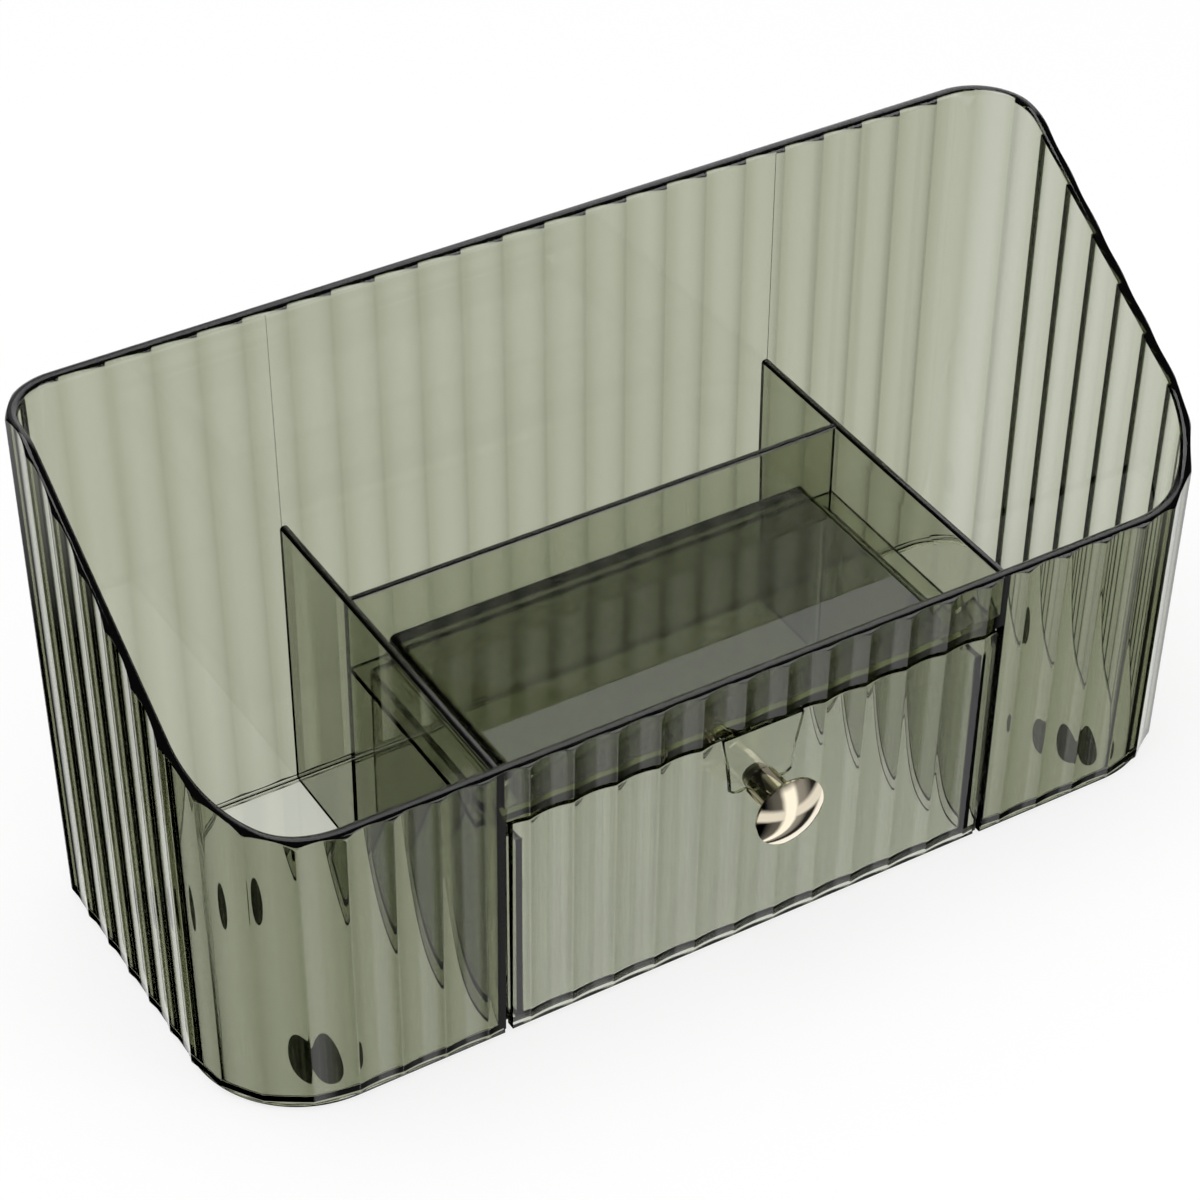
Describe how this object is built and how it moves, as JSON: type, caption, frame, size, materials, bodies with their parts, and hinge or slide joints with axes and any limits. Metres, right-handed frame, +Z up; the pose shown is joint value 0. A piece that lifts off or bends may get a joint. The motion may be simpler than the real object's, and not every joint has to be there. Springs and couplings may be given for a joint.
{
  "type": "cosmetic organiser with drawer",
  "caption": "Clear smoke fluted desktop cosmetic organiser with sloping sides, divided pockets, raised tray and a drawer with a metal knob.",
  "frame": {"origin": "on the surface it stands on, under the middle of the overall box, the knob included", "axes": "+X to the right seen from the front, +Y to the back, +Z up; the drawer opens towards -Y"},
  "size_m": [0.284, 0.1292, 0.1474],
  "materials": {
    "smoke_case": "clear smoke olive, polished",
    "smoke_drawer": "clear smoke olive, polished",
    "pale_gold": "polished pale gold plating",
    "screw_steel": "zinc plated",
    "pad_rubber": "matte"
  },
  "bodies": {
    "case": {"case": "smoke_case", "pad_front_left": "pad_rubber", "pad_front_right": "pad_rubber", "pad_back_left": "pad_rubber", "pad_back_right": "pad_rubber"},
    "drawer": {"drawer": "smoke_drawer", "knob": "pale_gold", "knob_screw": "screw_steel"}
  },
  "joints": [
    {"name": "drawer_slide", "type": "slide", "parent": "case", "child": "drawer", "axis": [0, -1, 0], "range_m": [0, 0.055]}
  ]
}
